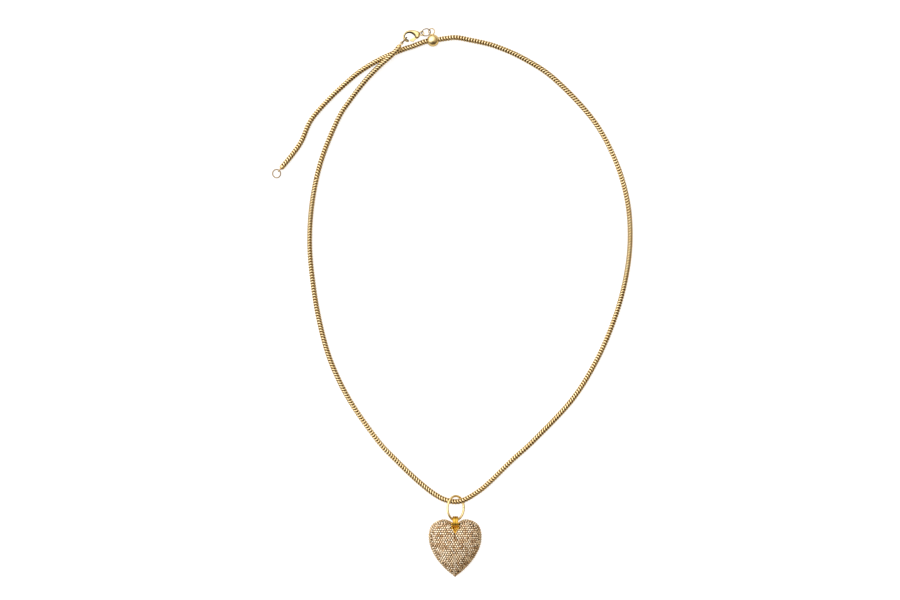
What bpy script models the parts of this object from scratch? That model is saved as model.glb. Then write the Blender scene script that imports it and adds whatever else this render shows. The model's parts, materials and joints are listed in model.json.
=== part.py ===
"""Pendant necklace: a snake chain with a slider bead, a lobster clasp and a stone-set heart.

The necklace lies flat on the plane z = 0, seen from +Z. +X is to the right and +Y is towards the clasp.
The origin is below the middle of the whole necklace. Everything is in metres.
"""
import math

import bmesh
import bpy
from mathutils import Matrix, Vector

# ---------------------------------------------------------------- driving dimensions
CHAIN_RADIUS = 0.00115
CHAIN_STEP = 0.0085
TIP_GAP = 0.0003
STRAND_KNOTS = 3
STRAND_GAP = 0.0003

BEAD_RADIUS = 0.00258
BEAD_BORE_RADIUS = 0.00140
BEAD_CHAMBER_RADIUS = 0.00195
BEAD_CHAMBER_HALF = 0.00125
SLEEVE_RADIUS = 0.00188
SLEEVE_BORE_RADIUS = 0.00123
SLEEVE_HALF = 0.00115
BEAD_LOOP_RADIUS = 0.00125
BEAD_LOOP_WIRE = 0.00025

SMALL_RING_RADIUS = 0.00172
SMALL_RING_WIRE = 0.00023
CLASP_RING_RADIUS = 0.00185
RING_SPLIT = math.radians(4)
RING_STEPS = 26

TIP_EYE_RADIUS = 0.00062
TIP_EYE_WIRE = 0.00020
TIP_LENGTH = 0.00160
TIP_BIG_RADIUS = 0.00108
TIP_SMALL_RADIUS = 0.00050

CLASP_THICKNESS = 0.00160
CLASP_SLOT = 0.00090
CLASP_EYE_RADIUS = 0.00085
CLASP_EYE_WIRE = 0.00025
CLASP_PIVOT = Vector((0.0019, 0.00085, 0.0))
LEVER_THICKNESS = 0.00070
LEVER_BOSS_RADIUS = 0.00068
LEVER_HOLE_RADIUS = 0.00034
RIVET_RADIUS = 0.00028
RIVET_HEAD_RADIUS = 0.00045
SLOT_RADIUS = 0.00112
SPRING_INNER_RADIUS = 0.00080
SPRING_OUTER_RADIUS = 0.00096
EDGE_ROUND = 0.00018

PENDANT_LONG_RADIUS = 0.00505
PENDANT_SHORT_RADIUS = 0.00410
PENDANT_WIRE = 0.00043
PENDANT_TILT = math.radians(35)
PENDANT_PITCH = math.radians(12)
PENDANT_LEAN = math.radians(6)

BAIL_RADIUS = 0.00242
BAIL_HOLE_RADIUS = 0.00205
BAIL_SEAT_GAP = 0.00010
BAIL_WIDTH = 0.00240
BAIL_EDGE = 0.00012
BAIL_MOUTH = 0.00020
NOTCH_DEPTH = 0.00315
NOTCH_HEIGHT = 0.01400

BACK_THICKNESS = 0.00080
HEART_BASE = 0.00090
HEART_HEIGHT = 0.00620
HEART_HALF_WIDTH = 0.01125
STONE_DEPTH = 0.00055
SHELL_INSET = 0.00065
SHELL_WALL = 0.00085
ROW_GAP = math.radians(1.2)
ROW_EDGES = [math.radians(a) for a in (0, 10, 20, 30)]
DOME_TOP = math.radians(86)
DOME_FULLNESS = 0.77
SHELL_LEVELS = 8
FIELD_LEVELS = 6
# The back plate's size as a share of the heart's outline, at the ground and above its rounded edge.
BACK_GROUND_SHARE = 0.95
BACK_SHARE = 0.97

# ---------------------------------------------------------------- places
# The chain's centreline, from the clasp end down the left side, round the pendant, up the right side,
# through the slider bead and on to the free end.
CHAIN_ROUTE = [
    (-0.02300, 0.10570, 0.00368), (-0.02590, 0.10290, 0.00355), (-0.03000, 0.09940, 0.00235),
    (-0.03590, 0.09350, 0.00120), (-0.04250, 0.08510, 0.00117), (-0.04780, 0.07670, 0.00117),
    (-0.05460, 0.06000, 0.00117), (-0.05840, 0.04300, 0.00117), (-0.05960, 0.02600, 0.00117),
    (-0.05840, 0.01000, 0.00117), (-0.05560, -0.00730, 0.00117), (-0.05090, -0.02420, 0.00117),
    (-0.04290, -0.04090, 0.00117), (-0.03110, -0.05780, 0.00117), (-0.02330, -0.06620, 0.00117),
    (-0.01450, -0.07460, 0.00122), (-0.00690, -0.08060, 0.00190), (-0.00120, -0.08320, 0.00256),
    (0.00450, -0.08310, 0.00264), (0.01130, -0.07930, 0.00190), (0.01670, -0.07480, 0.00122),
    (0.02560, -0.06610, 0.00117), (0.03480, -0.05770, 0.00117), (0.05060, -0.04090, 0.00117),
    (0.06100, -0.02420, 0.00117), (0.06830, -0.00730, 0.00117), (0.07300, 0.00950, 0.00117),
    (0.07500, 0.02600, 0.00117), (0.07380, 0.04300, 0.00117), (0.06870, 0.06000, 0.00117),
    (0.05940, 0.07680, 0.00117), (0.04370, 0.09350, 0.00117), (0.03080, 0.10220, 0.00117),
    (0.01830, 0.10770, 0.00130), (0.00700, 0.11030, 0.00220), (0.00200, 0.11110, 0.00262),
    (-0.00180, 0.11080, 0.00262), (-0.00600, 0.11017, 0.00262), (-0.01080, 0.10945, 0.00262),
    (-0.01300, 0.10872, 0.00238), (-0.01660, 0.10740, 0.00165), (-0.02000, 0.10640, 0.00125),
    (-0.02580, 0.10410, 0.00117),
    (-0.03210, 0.10100, 0.00117), (-0.03860, 0.09690, 0.00117), (-0.04470, 0.09180, 0.00117),
    (-0.05180, 0.08500, 0.00117), (-0.05890, 0.07670, 0.00117), (-0.06290, 0.06790, 0.00117),
    (-0.06640, 0.06270, 0.00117),
]
BEAD_CENTRE = Vector((-0.00780, 0.10990, 0.00262))
SLIDE_DIRECTION = Vector((0.9888, 0.1495, 0.0)).normalized()
BEAD_LOOP_CENTRE = Vector((-0.00832, 0.11360, 0.00300))
CLASP_RING_CENTRE = Vector((-0.01065, 0.11325, 0.00300))
CLASP_RING_LINE = Vector((0.97, 0.24, 0.0)).normalized()
CLASP_RING_LEAN = math.radians(45)
CLASP_ANGLE = math.radians(191.5)
CLASP_HEIGHT = 0.00300
END_RING_CONTACT = Vector((-0.02095, 0.10862, 0.00365))
END_RING_OUTWARD = Vector((-0.66, -0.75, 0.0)).normalized()
END_RING_RISE = math.radians(17)
TAIL_RING_CENTRE = Vector((-0.07350, 0.05420, 0.00062))
TAIL_DIRECTION = Vector((0.66, 0.745, 0.08)).normalized()
TAIL_RING_TILT = math.radians(12.5)
PENDANT_CENTRE = Vector((0.00180, -0.08615, 0.00308))
HEART_CENTRE = Vector((0.00150, -0.10200, 0.0))
BAIL_CENTRE = Vector((0.00160, -0.09185, 0.00415))

# The heart's right half seen from above, from the cleft over the lobe and down to the point.
HEART_HALF_OUTLINE = [
    (0.0, 0.00860), (0.00170, 0.01010), (0.00440, 0.01110), (0.00750, 0.01045), (0.00960, 0.00900),
    (0.01075, 0.00700), (0.01125, 0.00440), (0.01105, 0.00140), (0.01030, -0.00120), (0.00905, -0.00380),
    (0.00745, -0.00630), (0.00525, -0.00885), (0.00270, -0.01130), (0.0, -0.01330),
]
# The clasp in its own plane: x runs from the eye to the hook, and y points to the lever's side.
CLASP_OUTLINE = [
    (0.00075, -0.00045), (0.0014, -0.0012), (0.0028, -0.0019), (0.0044, -0.0023), (0.0060, -0.0022),
    (0.0072, -0.0015), (0.0080, -0.0003), (0.0080, 0.0010), (0.0073, 0.0020), (0.0063, 0.0024),
    (0.0059, 0.0021), (0.0060, 0.0015), (0.0066, 0.0011), (0.00715, 0.0004), (0.0070, -0.0006),
    (0.0061, -0.0012), (0.0050, -0.0012), (0.0040, -0.0006), (0.0032, 0.0004), (0.0030, 0.0014),
    (0.0022, 0.0018), (0.0013, 0.0012), (0.00075, 0.00045),
]
LEVER_OUTLINE = [
    (0.0022, 0.00145), (0.0029, 0.00195), (0.0037, 0.0023), (0.0042, 0.0029), (0.0046, 0.0025),
    (0.0052, 0.0023), (0.0055, 0.0021), (0.0055, 0.0017), (0.0049, 0.0014), (0.0040, 0.0012),
    (0.0031, 0.0007), (0.0024, 0.0004),
]


# ---------------------------------------------------------------- materials
def material(name, colour, metallic, roughness):
    made = bpy.data.materials.new(name)
    made.use_nodes = True
    shader = made.node_tree.nodes["Principled BSDF"]
    shader.inputs["Base Color"].default_value = (*colour, 1.0)
    shader.inputs["Metallic"].default_value = metallic
    shader.inputs["Roughness"].default_value = roughness
    return made


def make_materials():
    return {
        "chain_gold": material("chain_gold", (0.83, 0.62, 0.30), 1.0, 0.28),
        "bright_gold": material("bright_gold", (0.90, 0.72, 0.36), 1.0, 0.15),
        "cast_gold": material("cast_gold", (0.86, 0.60, 0.25), 1.0, 0.25),
        "ring_gold": material("ring_gold", (0.86, 0.70, 0.42), 1.0, 0.20),
        "spring_steel": material("spring_steel", (0.60, 0.60, 0.58), 1.0, 0.30),
        "silicone": material("silicone", (0.85, 0.85, 0.82), 0.0, 0.50),
        "stones": material("stones", (0.92, 0.86, 0.80), 0.0, 0.05),
    }


# ---------------------------------------------------------------- curves and frames
def spline_point(p0, p1, p2, p3, t):
    """A point of the Catmull-Rom curve between p1 and p2."""
    return 0.5 * (
        2 * p1
        + (p2 - p0) * t
        + (2 * p0 - 5 * p1 + 4 * p2 - p3) * t * t
        + (3 * p1 - p0 - 3 * p2 + p3) * t * t * t
    )


def smooth_line(points, parts):
    """An open smooth curve through the points, each stretch cut into parts."""
    knots = [Vector(p) for p in points]
    knots = [2 * knots[0] - knots[1]] + knots + [2 * knots[-1] - knots[-2]]
    line = []
    for i in range(1, len(knots) - 2):
        for k in range(parts):
            line.append(spline_point(knots[i - 1], knots[i], knots[i + 1], knots[i + 2], k / parts))
    line.append(knots[-2])
    return line


def route_points(knots, longest):
    """Points of the smooth curve through the knots, none further than longest from the next."""
    around = [2 * knots[0] - knots[1]] + knots + [2 * knots[-1] - knots[-2]]
    points = []
    for i in range(1, len(around) - 2):
        parts = math.ceil((around[i + 1] - around[i]).length / longest)
        for k in range(parts):
            points.append(spline_point(around[i - 1], around[i], around[i + 1], around[i + 2], k / parts))
    points.append(knots[-1])
    return points


def axes_matrix(origin, x_axis, z_axis):
    """The placing of a piece whose own x and z axes point along the two given directions."""
    z = z_axis.normalized()
    x = (x_axis - x_axis.dot(z) * z).normalized()
    y = z.cross(x)
    turn = Matrix((x, y, z)).transposed().to_4x4()
    return Matrix.Translation(origin) @ turn


# ---------------------------------------------------------------- building blocks
def add_object(name, data, finish, matrix):
    made = bpy.data.objects.new(name, data)
    bpy.context.scene.collection.objects.link(made)
    if finish is not None:
        data.materials.append(finish)
    made.matrix_world = matrix
    return made


def add_mesh(name, bm, finish, matrix, sharp=35):
    bmesh.ops.recalc_face_normals(bm, faces=bm.faces[:])
    mesh = bpy.data.meshes.new(name)
    bm.to_mesh(mesh)
    bm.free()
    mesh.shade_smooth()
    mesh.set_sharp_from_angle(angle=math.radians(sharp))
    return add_object(name, mesh, finish, matrix)


def tube(name, points, radius, finish, matrix=None):
    """A round wire along the points, closed at both ends."""
    curve = bpy.data.curves.new(name, "CURVE")
    curve.dimensions = "3D"
    curve.bevel_depth = radius
    curve.bevel_resolution = 2
    curve.use_fill_caps = True
    spline = curve.splines.new("POLY")
    spline.points.add(len(points) - 1)
    for knot, point in zip(spline.points, points):
        knot.co = (*point, 1.0)
    return add_object(name, curve, finish, matrix or Matrix.Identity(4))


def split_ring(name, matrix, long_radius, short_radius, wire, split_at, finish):
    """A ring of round wire in the piece's own xy plane, with the fine cut of a jump ring."""
    sweep = 2 * math.pi - RING_SPLIT
    points = []
    for k in range(RING_STEPS + 1):
        angle = split_at + RING_SPLIT / 2 + sweep * k / RING_STEPS
        points.append((long_radius * math.cos(angle), short_radius * math.sin(angle), 0.0))
    return tube(name, points, wire, finish, matrix)


def turned(name, profile, steps, finish, matrix):
    """A closed profile of (radius, height) points turned once round the piece's own z axis."""
    bm = bmesh.new()
    verts = [bm.verts.new((radius, 0.0, height)) for radius, height in profile]
    edges = [bm.edges.new((a, b)) for a, b in zip(verts, verts[1:] + verts[:1])]
    bmesh.ops.spin(
        bm, geom=verts + edges, cent=(0, 0, 0), axis=(0, 0, 1), angle=2 * math.pi, steps=steps, use_merge=True
    )
    bmesh.ops.remove_doubles(bm, verts=bm.verts[:], dist=1e-7)
    return add_mesh(name, bm, finish, matrix)


def cylinder(name, radius, length, steps, finish, matrix):
    bm = bmesh.new()
    bmesh.ops.create_cone(
        bm, cap_ends=True, segments=steps, radius1=radius, radius2=radius, depth=length
    )
    return add_mesh(name, bm, finish, matrix)


def plate(name, outline, thickness, rounding, finish, matrix):
    """A flat outline given a thickness either side of its plane, with rounded edges."""
    bm = bmesh.new()
    low = bm.faces.new([bm.verts.new((p[0], p[1], -thickness / 2)) for p in outline])
    raised = bmesh.ops.extrude_face_region(bm, geom=[low])
    top = [v for v in raised["geom"] if isinstance(v, bmesh.types.BMVert)]
    bmesh.ops.translate(bm, verts=top, vec=(0, 0, thickness))
    made = add_mesh(name, bm, finish, matrix)
    if rounding:
        bevel = made.modifiers.new("rounding", "BEVEL")
        bevel.width = rounding
        bevel.segments = 2
        bevel.limit_method = "ANGLE"
        bevel.angle_limit = math.radians(50)
    return made


def box(name, size, matrix):
    bm = bmesh.new()
    bmesh.ops.create_cube(bm, size=1.0)
    bmesh.ops.scale(bm, verts=bm.verts[:], vec=size)
    return add_mesh(name, bm, None, matrix)


def combine(target, other, operation):
    """Adds the other shape to the target or cuts it away, and keeps the other as a guide only."""
    other.hide_render = True
    other.display_type = "WIRE"
    step = target.modifiers.new(other.name, "BOOLEAN")
    step.operation = operation
    step.solver = "EXACT"
    step.object = other
    return target


def full_ring(name, radius, wire, steps, matrix):
    profile = []
    for k in range(8):
        angle = 2 * math.pi * k / 8
        profile.append((radius + wire * math.cos(angle), wire * math.sin(angle)))
    return turned(name, profile, steps, None, matrix)


# ---------------------------------------------------------------- the chain and its ends
def end_tip(name, eye_centre, direction, hole_axis, finish):
    """The turned tip soldered into a chain end, with the small eye that its ring runs in."""
    profile = [
        (0.0, TIP_EYE_RADIUS - TIP_EYE_WIRE / 2),
        (TIP_SMALL_RADIUS, TIP_EYE_RADIUS - TIP_EYE_WIRE / 2),
        (TIP_SMALL_RADIUS * 1.3, TIP_EYE_RADIUS + TIP_LENGTH * 0.25),
        (TIP_BIG_RADIUS, TIP_EYE_RADIUS + TIP_LENGTH * 0.6),
        (TIP_BIG_RADIUS, TIP_EYE_RADIUS + TIP_LENGTH),
        (0.0, TIP_EYE_RADIUS + TIP_LENGTH),
    ]
    tip = turned(name, profile, 16, finish, axes_matrix(eye_centre, hole_axis, direction))
    eye = full_ring(name + "_eye_guide", TIP_EYE_RADIUS, TIP_EYE_WIRE, 16,
                    axes_matrix(eye_centre, direction, hole_axis))
    return combine(tip, eye, "UNION")


def tip_end(eye_centre, direction):
    return eye_centre + direction * (TIP_EYE_RADIUS + TIP_LENGTH + TIP_GAP)


def make_chain(finish, tail_end, clasp_end):
    """The chain is cut near the clasp, where its last stretch starts to move with the slider."""
    knots = [clasp_end] + [Vector(p) for p in CHAIN_ROUTE] + [tail_end]
    points = route_points(knots, CHAIN_STEP)
    split = min(range(len(points)), key=lambda i: (points[i] - knots[STRAND_KNOTS]).length)
    tube("chain_end_strand", points[: split + 1], CHAIN_RADIUS, finish)
    ahead = (points[split + 1] - points[split]).normalized()
    tube("chain", [points[split] + ahead * STRAND_GAP] + points[split + 1 :], CHAIN_RADIUS, finish)


# ---------------------------------------------------------------- the slider
def make_slider(gold, silicone):
    along = axes_matrix(BEAD_CENTRE, Vector((0, 0, 1)), SLIDE_DIRECTION)
    mouth = math.asin(BEAD_BORE_RADIUS / BEAD_RADIUS)
    profile = []
    for k in range(15):
        angle = mouth + (math.pi - 2 * mouth) * k / 14
        profile.append((BEAD_RADIUS * math.sin(angle), BEAD_RADIUS * math.cos(angle)))
    for radius, height in (
        (BEAD_BORE_RADIUS, -BEAD_CHAMBER_HALF),
        (BEAD_CHAMBER_RADIUS, -BEAD_CHAMBER_HALF),
        (BEAD_CHAMBER_RADIUS, BEAD_CHAMBER_HALF),
        (BEAD_BORE_RADIUS, BEAD_CHAMBER_HALF),
    ):
        profile.append((radius, height))
    bead = turned("slider_bead", profile, 24, gold, along)
    loop = full_ring("bead_loop_guide", BEAD_LOOP_RADIUS, BEAD_LOOP_WIRE, 20,
                     Matrix.Translation(BEAD_LOOP_CENTRE))
    combine(bead, loop, "UNION")
    sleeve_profile = [
        (SLEEVE_BORE_RADIUS, -SLEEVE_HALF),
        (SLEEVE_RADIUS, -SLEEVE_HALF),
        (SLEEVE_RADIUS, SLEEVE_HALF),
        (SLEEVE_BORE_RADIUS, SLEEVE_HALF),
    ]
    turned("slider_sleeve", sleeve_profile, 24, silicone, along)


# ---------------------------------------------------------------- rings
def make_clasp_ring(finish):
    upward = Vector((0, 0, 1))
    side = upward.cross(CLASP_RING_LINE)
    in_plane = upward * math.cos(CLASP_RING_LEAN) + side * math.sin(CLASP_RING_LEAN)
    normal = CLASP_RING_LINE.cross(in_plane)
    matrix = axes_matrix(CLASP_RING_CENTRE, CLASP_RING_LINE, normal)
    split_ring("clasp_jump_ring", matrix, CLASP_RING_RADIUS, CLASP_RING_RADIUS, SMALL_RING_WIRE,
               math.radians(110), finish)


def make_end_ring(finish):
    normal = END_RING_OUTWARD.cross(Vector((0, 0, 1)))
    outward = END_RING_OUTWARD * math.cos(END_RING_RISE) + Vector((0, 0, math.sin(END_RING_RISE)))
    centre = END_RING_CONTACT - outward * SMALL_RING_RADIUS
    split_ring("chain_end_ring", axes_matrix(centre, outward, normal), SMALL_RING_RADIUS, SMALL_RING_RADIUS,
               SMALL_RING_WIRE, math.radians(95), finish)


def make_tail_ring(finish):
    across = Vector((0, 0, 1)).cross(TAIL_DIRECTION).normalized()
    level = across.cross(Vector((0, 0, 1)))
    outward = level * math.cos(TAIL_RING_TILT) + Vector((0, 0, math.sin(TAIL_RING_TILT)))
    split_ring("tail_ring", axes_matrix(TAIL_RING_CENTRE, outward, outward.cross(across)), SMALL_RING_RADIUS,
               SMALL_RING_RADIUS, SMALL_RING_WIRE, math.radians(200), finish)
    return TAIL_RING_CENTRE + outward * SMALL_RING_RADIUS, across


def make_pendant_ring(finish):
    lean = Matrix.Rotation(-PENDANT_LEAN, 4, "Z")
    pitch = Matrix.Rotation(-PENDANT_PITCH, 4, "X")
    tilt = Matrix.Rotation(PENDANT_TILT, 4, "Y")
    upright = Matrix.Rotation(math.pi / 2, 4, "Z")
    matrix = Matrix.Translation(PENDANT_CENTRE) @ lean @ pitch @ tilt @ upright
    split_ring("pendant_ring", matrix, PENDANT_LONG_RADIUS, PENDANT_SHORT_RADIUS, PENDANT_WIRE,
               math.radians(100), finish)


# ---------------------------------------------------------------- the clasp
def arc(centre, radius, start, end, steps):
    points = []
    for k in range(steps + 1):
        angle = math.radians(start + (end - start) * k / steps)
        points.append((centre[0] + radius * math.cos(angle), centre[1] + radius * math.sin(angle)))
    return points


def make_clasp(gold, steel):
    eye = CLASP_RING_CENTRE - CLASP_RING_LINE * CLASP_RING_RADIUS
    eye.z = CLASP_HEIGHT
    base = Matrix.Translation(eye) @ Matrix.Rotation(CLASP_ANGLE, 4, "Z")
    pivot = base @ Matrix.Translation(CLASP_PIVOT)

    body = [(p.x, p.y) for p in smooth_line([(*q, 0.0) for q in CLASP_OUTLINE], 2)]
    frame = plate("clasp_frame", body, CLASP_THICKNESS, EDGE_ROUND, gold, base)
    combine(frame, full_ring("clasp_eye_guide", CLASP_EYE_RADIUS, CLASP_EYE_WIRE, 20, base), "UNION")
    combine(frame, cylinder("slot_guide", SLOT_RADIUS, CLASP_SLOT, 20, None, pivot), "DIFFERENCE")
    arm_slot = pivot @ Matrix.Translation((0.0012, 0.00015, 0.0))
    combine(frame, box("arm_slot_guide", (0.0024, 0.0029, CLASP_SLOT), arm_slot), "DIFFERENCE")
    combine(frame, cylinder("rivet_hole_guide", LEVER_HOLE_RADIUS, 0.004, 16, None, pivot), "DIFFERENCE")

    lever_line = [(p.x, p.y) for p in smooth_line([(*q, 0.0) for q in LEVER_OUTLINE], 2)]
    lever_line = [(x - CLASP_PIVOT.x, y - CLASP_PIVOT.y) for x, y in lever_line]
    lever_line += arc((0.0, 0.0), LEVER_BOSS_RADIUS, 300, 80, 10)
    lever = plate("clasp_lever", lever_line, LEVER_THICKNESS, 0.0001, gold, pivot)
    combine(lever, cylinder("lever_hole_guide", LEVER_HOLE_RADIUS, 0.004, 16, None, pivot), "DIFFERENCE")

    half = CLASP_THICKNESS / 2
    rivet_profile = [
        (0.0, -half - 0.00022),
        (RIVET_HEAD_RADIUS, -half - 0.00010),
        (RIVET_HEAD_RADIUS, -half - 0.00003),
        (RIVET_RADIUS, -half - 0.00003),
        (RIVET_RADIUS, half + 0.00003),
        (RIVET_HEAD_RADIUS, half + 0.00003),
        (RIVET_HEAD_RADIUS, half + 0.00010),
        (0.0, half + 0.00022),
    ]
    turned("clasp_rivet", rivet_profile, 16, gold, pivot)
    leaf = arc((0, 0), SPRING_OUTER_RADIUS, 150, 290, 8) + arc((0, 0), SPRING_INNER_RADIUS, 290, 150, 8)
    plate("clasp_spring", leaf, LEVER_THICKNESS, 0.0, steel, pivot)


# ---------------------------------------------------------------- the heart
def heart_outline():
    right = smooth_line([(*p, 0.0) for p in HEART_HALF_OUTLINE], 2)
    left = [Vector((-p.x, p.y, 0.0)) for p in right[-2:0:-1]]
    return right + left


def dome_ring(outline, inset, drop, angle):
    """One level line of the heart's dome. Angle runs from 0 at the rim to a right angle at the top."""
    share = (1 - inset / HEART_HALF_WIDTH) * math.cos(angle) ** DOME_FULLNESS
    height = HEART_BASE + (HEART_HEIGHT - drop) * math.sin(angle)
    return [Vector((p.x * share, p.y * share, height)) for p in outline]


def loft(name, rings, ring_of_rings, finish):
    """Joins level lines into one closed body. An open row of rings gets a face at each end."""
    bm = bmesh.new()
    made = [[bm.verts.new(p) for p in ring] for ring in rings]
    count = len(rings[0])
    follow = made[1:] + made[:1] if ring_of_rings else made[1:]
    for lower, upper in zip(made, follow):
        for k in range(count):
            n = (k + 1) % count
            bm.faces.new((lower[k], lower[n], upper[n], upper[k]))
    if not ring_of_rings:
        bm.faces.new(made[0])
        bm.faces.new(made[-1])
    return add_mesh(name, bm, finish, Matrix.Translation(HEART_CENTRE))


def bail_matrix():
    return axes_matrix(BAIL_CENTRE, Vector((0, 1, 0)), Vector((1, 0, 0)))


def bail_seat():
    """The round seat cut into the shell's cleft for the bail."""
    return cylinder("bail_seat_guide", BAIL_RADIUS + BAIL_SEAT_GAP, BAIL_WIDTH + 2 * BAIL_SEAT_GAP, 28, None,
                    bail_matrix())


def bail_notch(name):
    """The gap in the stones of the cleft that leaves room for the bail."""
    size = (BAIL_WIDTH + 2 * BAIL_SEAT_GAP, 2 * NOTCH_DEPTH, NOTCH_HEIGHT)
    return box(name + "_notch_guide", size, Matrix.Translation((BAIL_CENTRE.x, BAIL_CENTRE.y, 0.0)))


def make_heart(gold, bright, stones):
    outline = heart_outline()

    def levels(start, end, count):
        return [start + (end - start) * k / count for k in range(count + 1)]

    back_levels = ((BACK_GROUND_SHARE, 0.0), (BACK_SHARE, BACK_THICKNESS / 3), (BACK_SHARE, BACK_THICKNESS))
    back = [[Vector((p.x * share, p.y * share, height)) for p in outline] for share, height in back_levels]
    loft("heart_back_plate", back, False, bright)

    outer = [dome_ring(outline, SHELL_INSET, SHELL_INSET, a) for a in levels(0.0, DOME_TOP, SHELL_LEVELS)]
    depth = SHELL_INSET + SHELL_WALL
    inner = [dome_ring(outline, depth, depth, a) for a in levels(DOME_TOP, 0.0, SHELL_LEVELS)]
    shell = loft_shell("heart_shell", outer, inner, gold)
    combine(shell, bail_seat(), "DIFFERENCE")

    for row in range(3):
        low = ROW_EDGES[row] + (ROW_GAP if row else 0.0)
        high = ROW_EDGES[row + 1]
        strip = [dome_ring(outline, 0.0, 0.0, low), dome_ring(outline, 0.0, 0.0, high),
                 dome_ring(outline, STONE_DEPTH, STONE_DEPTH, high),
                 dome_ring(outline, STONE_DEPTH, STONE_DEPTH, low)]
        stone_row = loft(f"pave_row_{row + 1}", strip, True, stones)
        combine(stone_row, bail_notch(stone_row.name), "DIFFERENCE")
    start = ROW_EDGES[3] + ROW_GAP
    outer = [dome_ring(outline, 0.0, 0.0, a) for a in levels(start, DOME_TOP, FIELD_LEVELS)]
    inner = [dome_ring(outline, STONE_DEPTH, STONE_DEPTH, a) for a in levels(DOME_TOP, start, FIELD_LEVELS)]
    field = loft_shell("pave_field", outer, inner, stones)
    combine(field, bail_notch(field.name), "DIFFERENCE")


def loft_shell(name, outer, inner, finish):
    """A dome with a wall: the outer rings up to the top, the inner rings back down, and a flat rim."""
    bm = bmesh.new()
    made = [[bm.verts.new(p) for p in ring] for ring in outer + inner]
    count = len(made[0])
    pairs = list(zip(made, made[1:] + made[:1]))
    del pairs[len(outer) - 1]
    for lower, upper in pairs:
        for k in range(count):
            n = (k + 1) % count
            bm.faces.new((lower[k], lower[n], upper[n], upper[k]))
    bm.faces.new(made[len(outer) - 1])
    bm.faces.new(made[len(outer)])
    return add_mesh(name, bm, finish, Matrix.Translation(HEART_CENTRE))


def make_bail(finish):
    half = BAIL_WIDTH / 2
    band = [
        (BAIL_HOLE_RADIUS, -half + 2 * BAIL_MOUTH),
        (BAIL_HOLE_RADIUS + BAIL_MOUTH, -half),
        (BAIL_RADIUS, -half + BAIL_EDGE),
        (BAIL_RADIUS, half - BAIL_EDGE),
        (BAIL_HOLE_RADIUS + BAIL_MOUTH, half),
        (BAIL_HOLE_RADIUS, half - 2 * BAIL_MOUTH),
    ]
    turned("heart_bail", band, 28, finish, bail_matrix())


# ---------------------------------------------------------------- the whole necklace
def main():
    for old in list(bpy.data.objects):
        bpy.data.objects.remove(old, do_unlink=True)
    finishes = make_materials()

    tail_eye, tail_hole_axis = make_tail_ring(finishes["ring_gold"])
    tail_end = tip_end(tail_eye, TAIL_DIRECTION)
    end_tip("tail_end_tip", tail_eye, TAIL_DIRECTION, tail_hole_axis, finishes["cast_gold"])

    make_end_ring(finishes["ring_gold"])
    backward = Vector(CHAIN_ROUTE[0]) - END_RING_CONTACT
    backward = Vector((backward.x, backward.y, 0.0)).normalized()
    end_tip("clasp_end_tip", END_RING_CONTACT, backward, Vector((0, 0, 1)), finishes["cast_gold"])
    make_chain(finishes["chain_gold"], tail_end, tip_end(END_RING_CONTACT, backward))

    make_slider(finishes["bright_gold"], finishes["silicone"])
    make_clasp_ring(finishes["ring_gold"])
    make_clasp(finishes["bright_gold"], finishes["spring_steel"])
    make_pendant_ring(finishes["ring_gold"])
    make_bail(finishes["cast_gold"])
    make_heart(finishes["cast_gold"], finishes["bright_gold"], finishes["stones"])


main()
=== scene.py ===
"""The looks of the pendant necklace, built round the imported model.

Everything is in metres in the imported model's own frame: the necklace lies flat, +Z is up, and +Y points from
the heart towards the clasp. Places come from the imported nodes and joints. Only the chain's route, the heart's
outline and the shape of small details are given here.
"""
import json
import math

import bmesh
import bpy
import numpy as np
from mathutils import Matrix, Vector
from mathutils.kdtree import KDTree


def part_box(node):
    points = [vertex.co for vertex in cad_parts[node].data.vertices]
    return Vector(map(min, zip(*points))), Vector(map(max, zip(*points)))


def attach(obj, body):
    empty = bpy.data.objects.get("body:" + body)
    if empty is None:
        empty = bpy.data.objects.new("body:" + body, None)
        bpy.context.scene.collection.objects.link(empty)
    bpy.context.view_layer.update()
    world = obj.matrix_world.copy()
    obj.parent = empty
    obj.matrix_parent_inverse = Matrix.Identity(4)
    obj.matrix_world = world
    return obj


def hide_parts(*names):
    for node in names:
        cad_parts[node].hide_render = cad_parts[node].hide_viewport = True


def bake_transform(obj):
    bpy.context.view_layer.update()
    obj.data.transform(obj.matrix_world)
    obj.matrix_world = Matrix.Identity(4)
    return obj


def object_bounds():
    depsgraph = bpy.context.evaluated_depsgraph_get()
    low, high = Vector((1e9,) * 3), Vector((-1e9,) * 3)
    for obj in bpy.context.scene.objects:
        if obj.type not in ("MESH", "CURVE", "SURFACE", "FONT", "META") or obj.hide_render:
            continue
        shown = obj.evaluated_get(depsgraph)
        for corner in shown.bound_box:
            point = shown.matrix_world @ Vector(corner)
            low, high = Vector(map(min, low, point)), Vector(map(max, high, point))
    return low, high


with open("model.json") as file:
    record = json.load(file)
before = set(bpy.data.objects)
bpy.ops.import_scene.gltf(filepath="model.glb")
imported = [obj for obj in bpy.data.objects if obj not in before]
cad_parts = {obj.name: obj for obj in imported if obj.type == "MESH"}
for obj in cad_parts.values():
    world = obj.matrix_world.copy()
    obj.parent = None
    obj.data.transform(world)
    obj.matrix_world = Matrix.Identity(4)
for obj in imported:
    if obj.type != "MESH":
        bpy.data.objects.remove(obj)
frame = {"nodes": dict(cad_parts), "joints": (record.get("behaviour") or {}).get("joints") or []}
CAD_LOW, CAD_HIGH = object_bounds()
JOINTS = {joint["name"]: joint for joint in frame["joints"]}

# ---- camera, light and floor
VIEW_CENTRE = (-0.00063, 0.00105)
VIEW_WIDTH = 0.378
CAMERA_HEIGHT = 1.0
SENSOR_WIDTH = 36.0
FLOOR_SIZE = 3.0
FLOOR_DROP = 0.0001
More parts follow.
